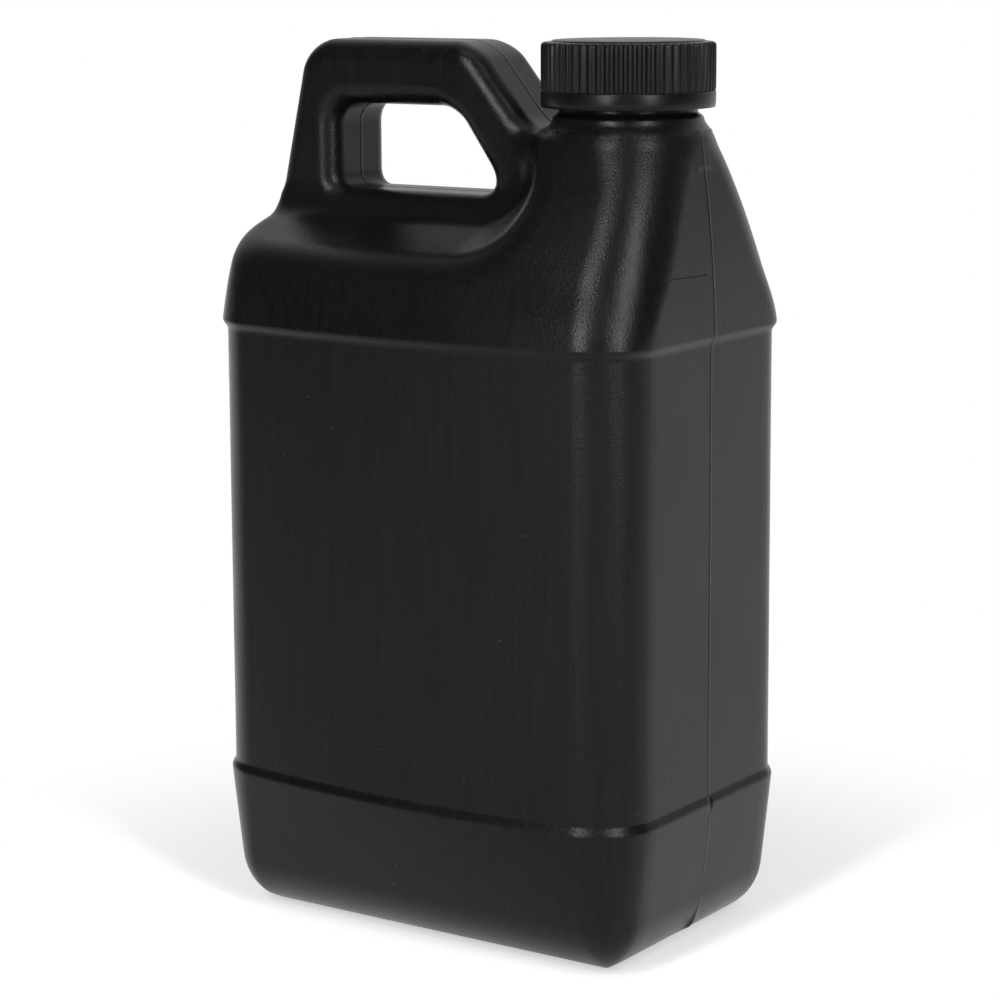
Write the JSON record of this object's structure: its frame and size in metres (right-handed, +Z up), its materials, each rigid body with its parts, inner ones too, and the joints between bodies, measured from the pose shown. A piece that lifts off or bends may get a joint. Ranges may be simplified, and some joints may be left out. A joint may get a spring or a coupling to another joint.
{
  "type": "f-style jug",
  "caption": "Upright oblong plastic jug with a hollow top handle, a scooped shoulder, an offset screw neck and a push-and-turn closure.",
  "frame": {"origin": "centre of the base, on the surface that the jug stands on", "axes": "+Z up, X along the width with the neck towards +X and the handle towards -X, front label face towards -Y"},
  "size_m": [0.13, 0.0948, 0.2316],
  "materials": {
    "body_plastic": "satin black blow-moulded polyethylene with a fine grain",
    "closure_plastic": "satin black injection-moulded polypropylene",
    "liner_foam": "matt white foamed polyethylene"
  },
  "bodies": {
    "jug": {"jug_body": "body_plastic"},
    "liner_lift": {"liner": "liner_foam"},
    "inner_cap": {"inner_cap": "closure_plastic"},
    "outer_shell": {"outer_shell": "closure_plastic"}
  },
  "joints": [
    {"name": "cap_lift", "type": "slide", "parent": "jug", "child": "liner_lift", "axis": [0, 0, 1], "range_m": [0, 0.0128]},
    {"name": "cap_turn", "type": "hinge", "parent": "liner_lift", "child": "inner_cap", "pos_m": [0.0393, 0, 0.2205], "axis": [0, 0, 1], "range_deg": [0, 1080]},
    {"name": "shell_press", "type": "slide", "parent": "inner_cap", "child": "outer_shell", "axis": [0, 0, 1], "range_m": [-0.001, 0], "stiffness_N_per_m": 800, "springref_m": 0.0003}
  ],
  "couplings": [
    {"joint": "cap_lift", "follows": "cap_turn", "m_per_rad": 0.00067376}
  ]
}
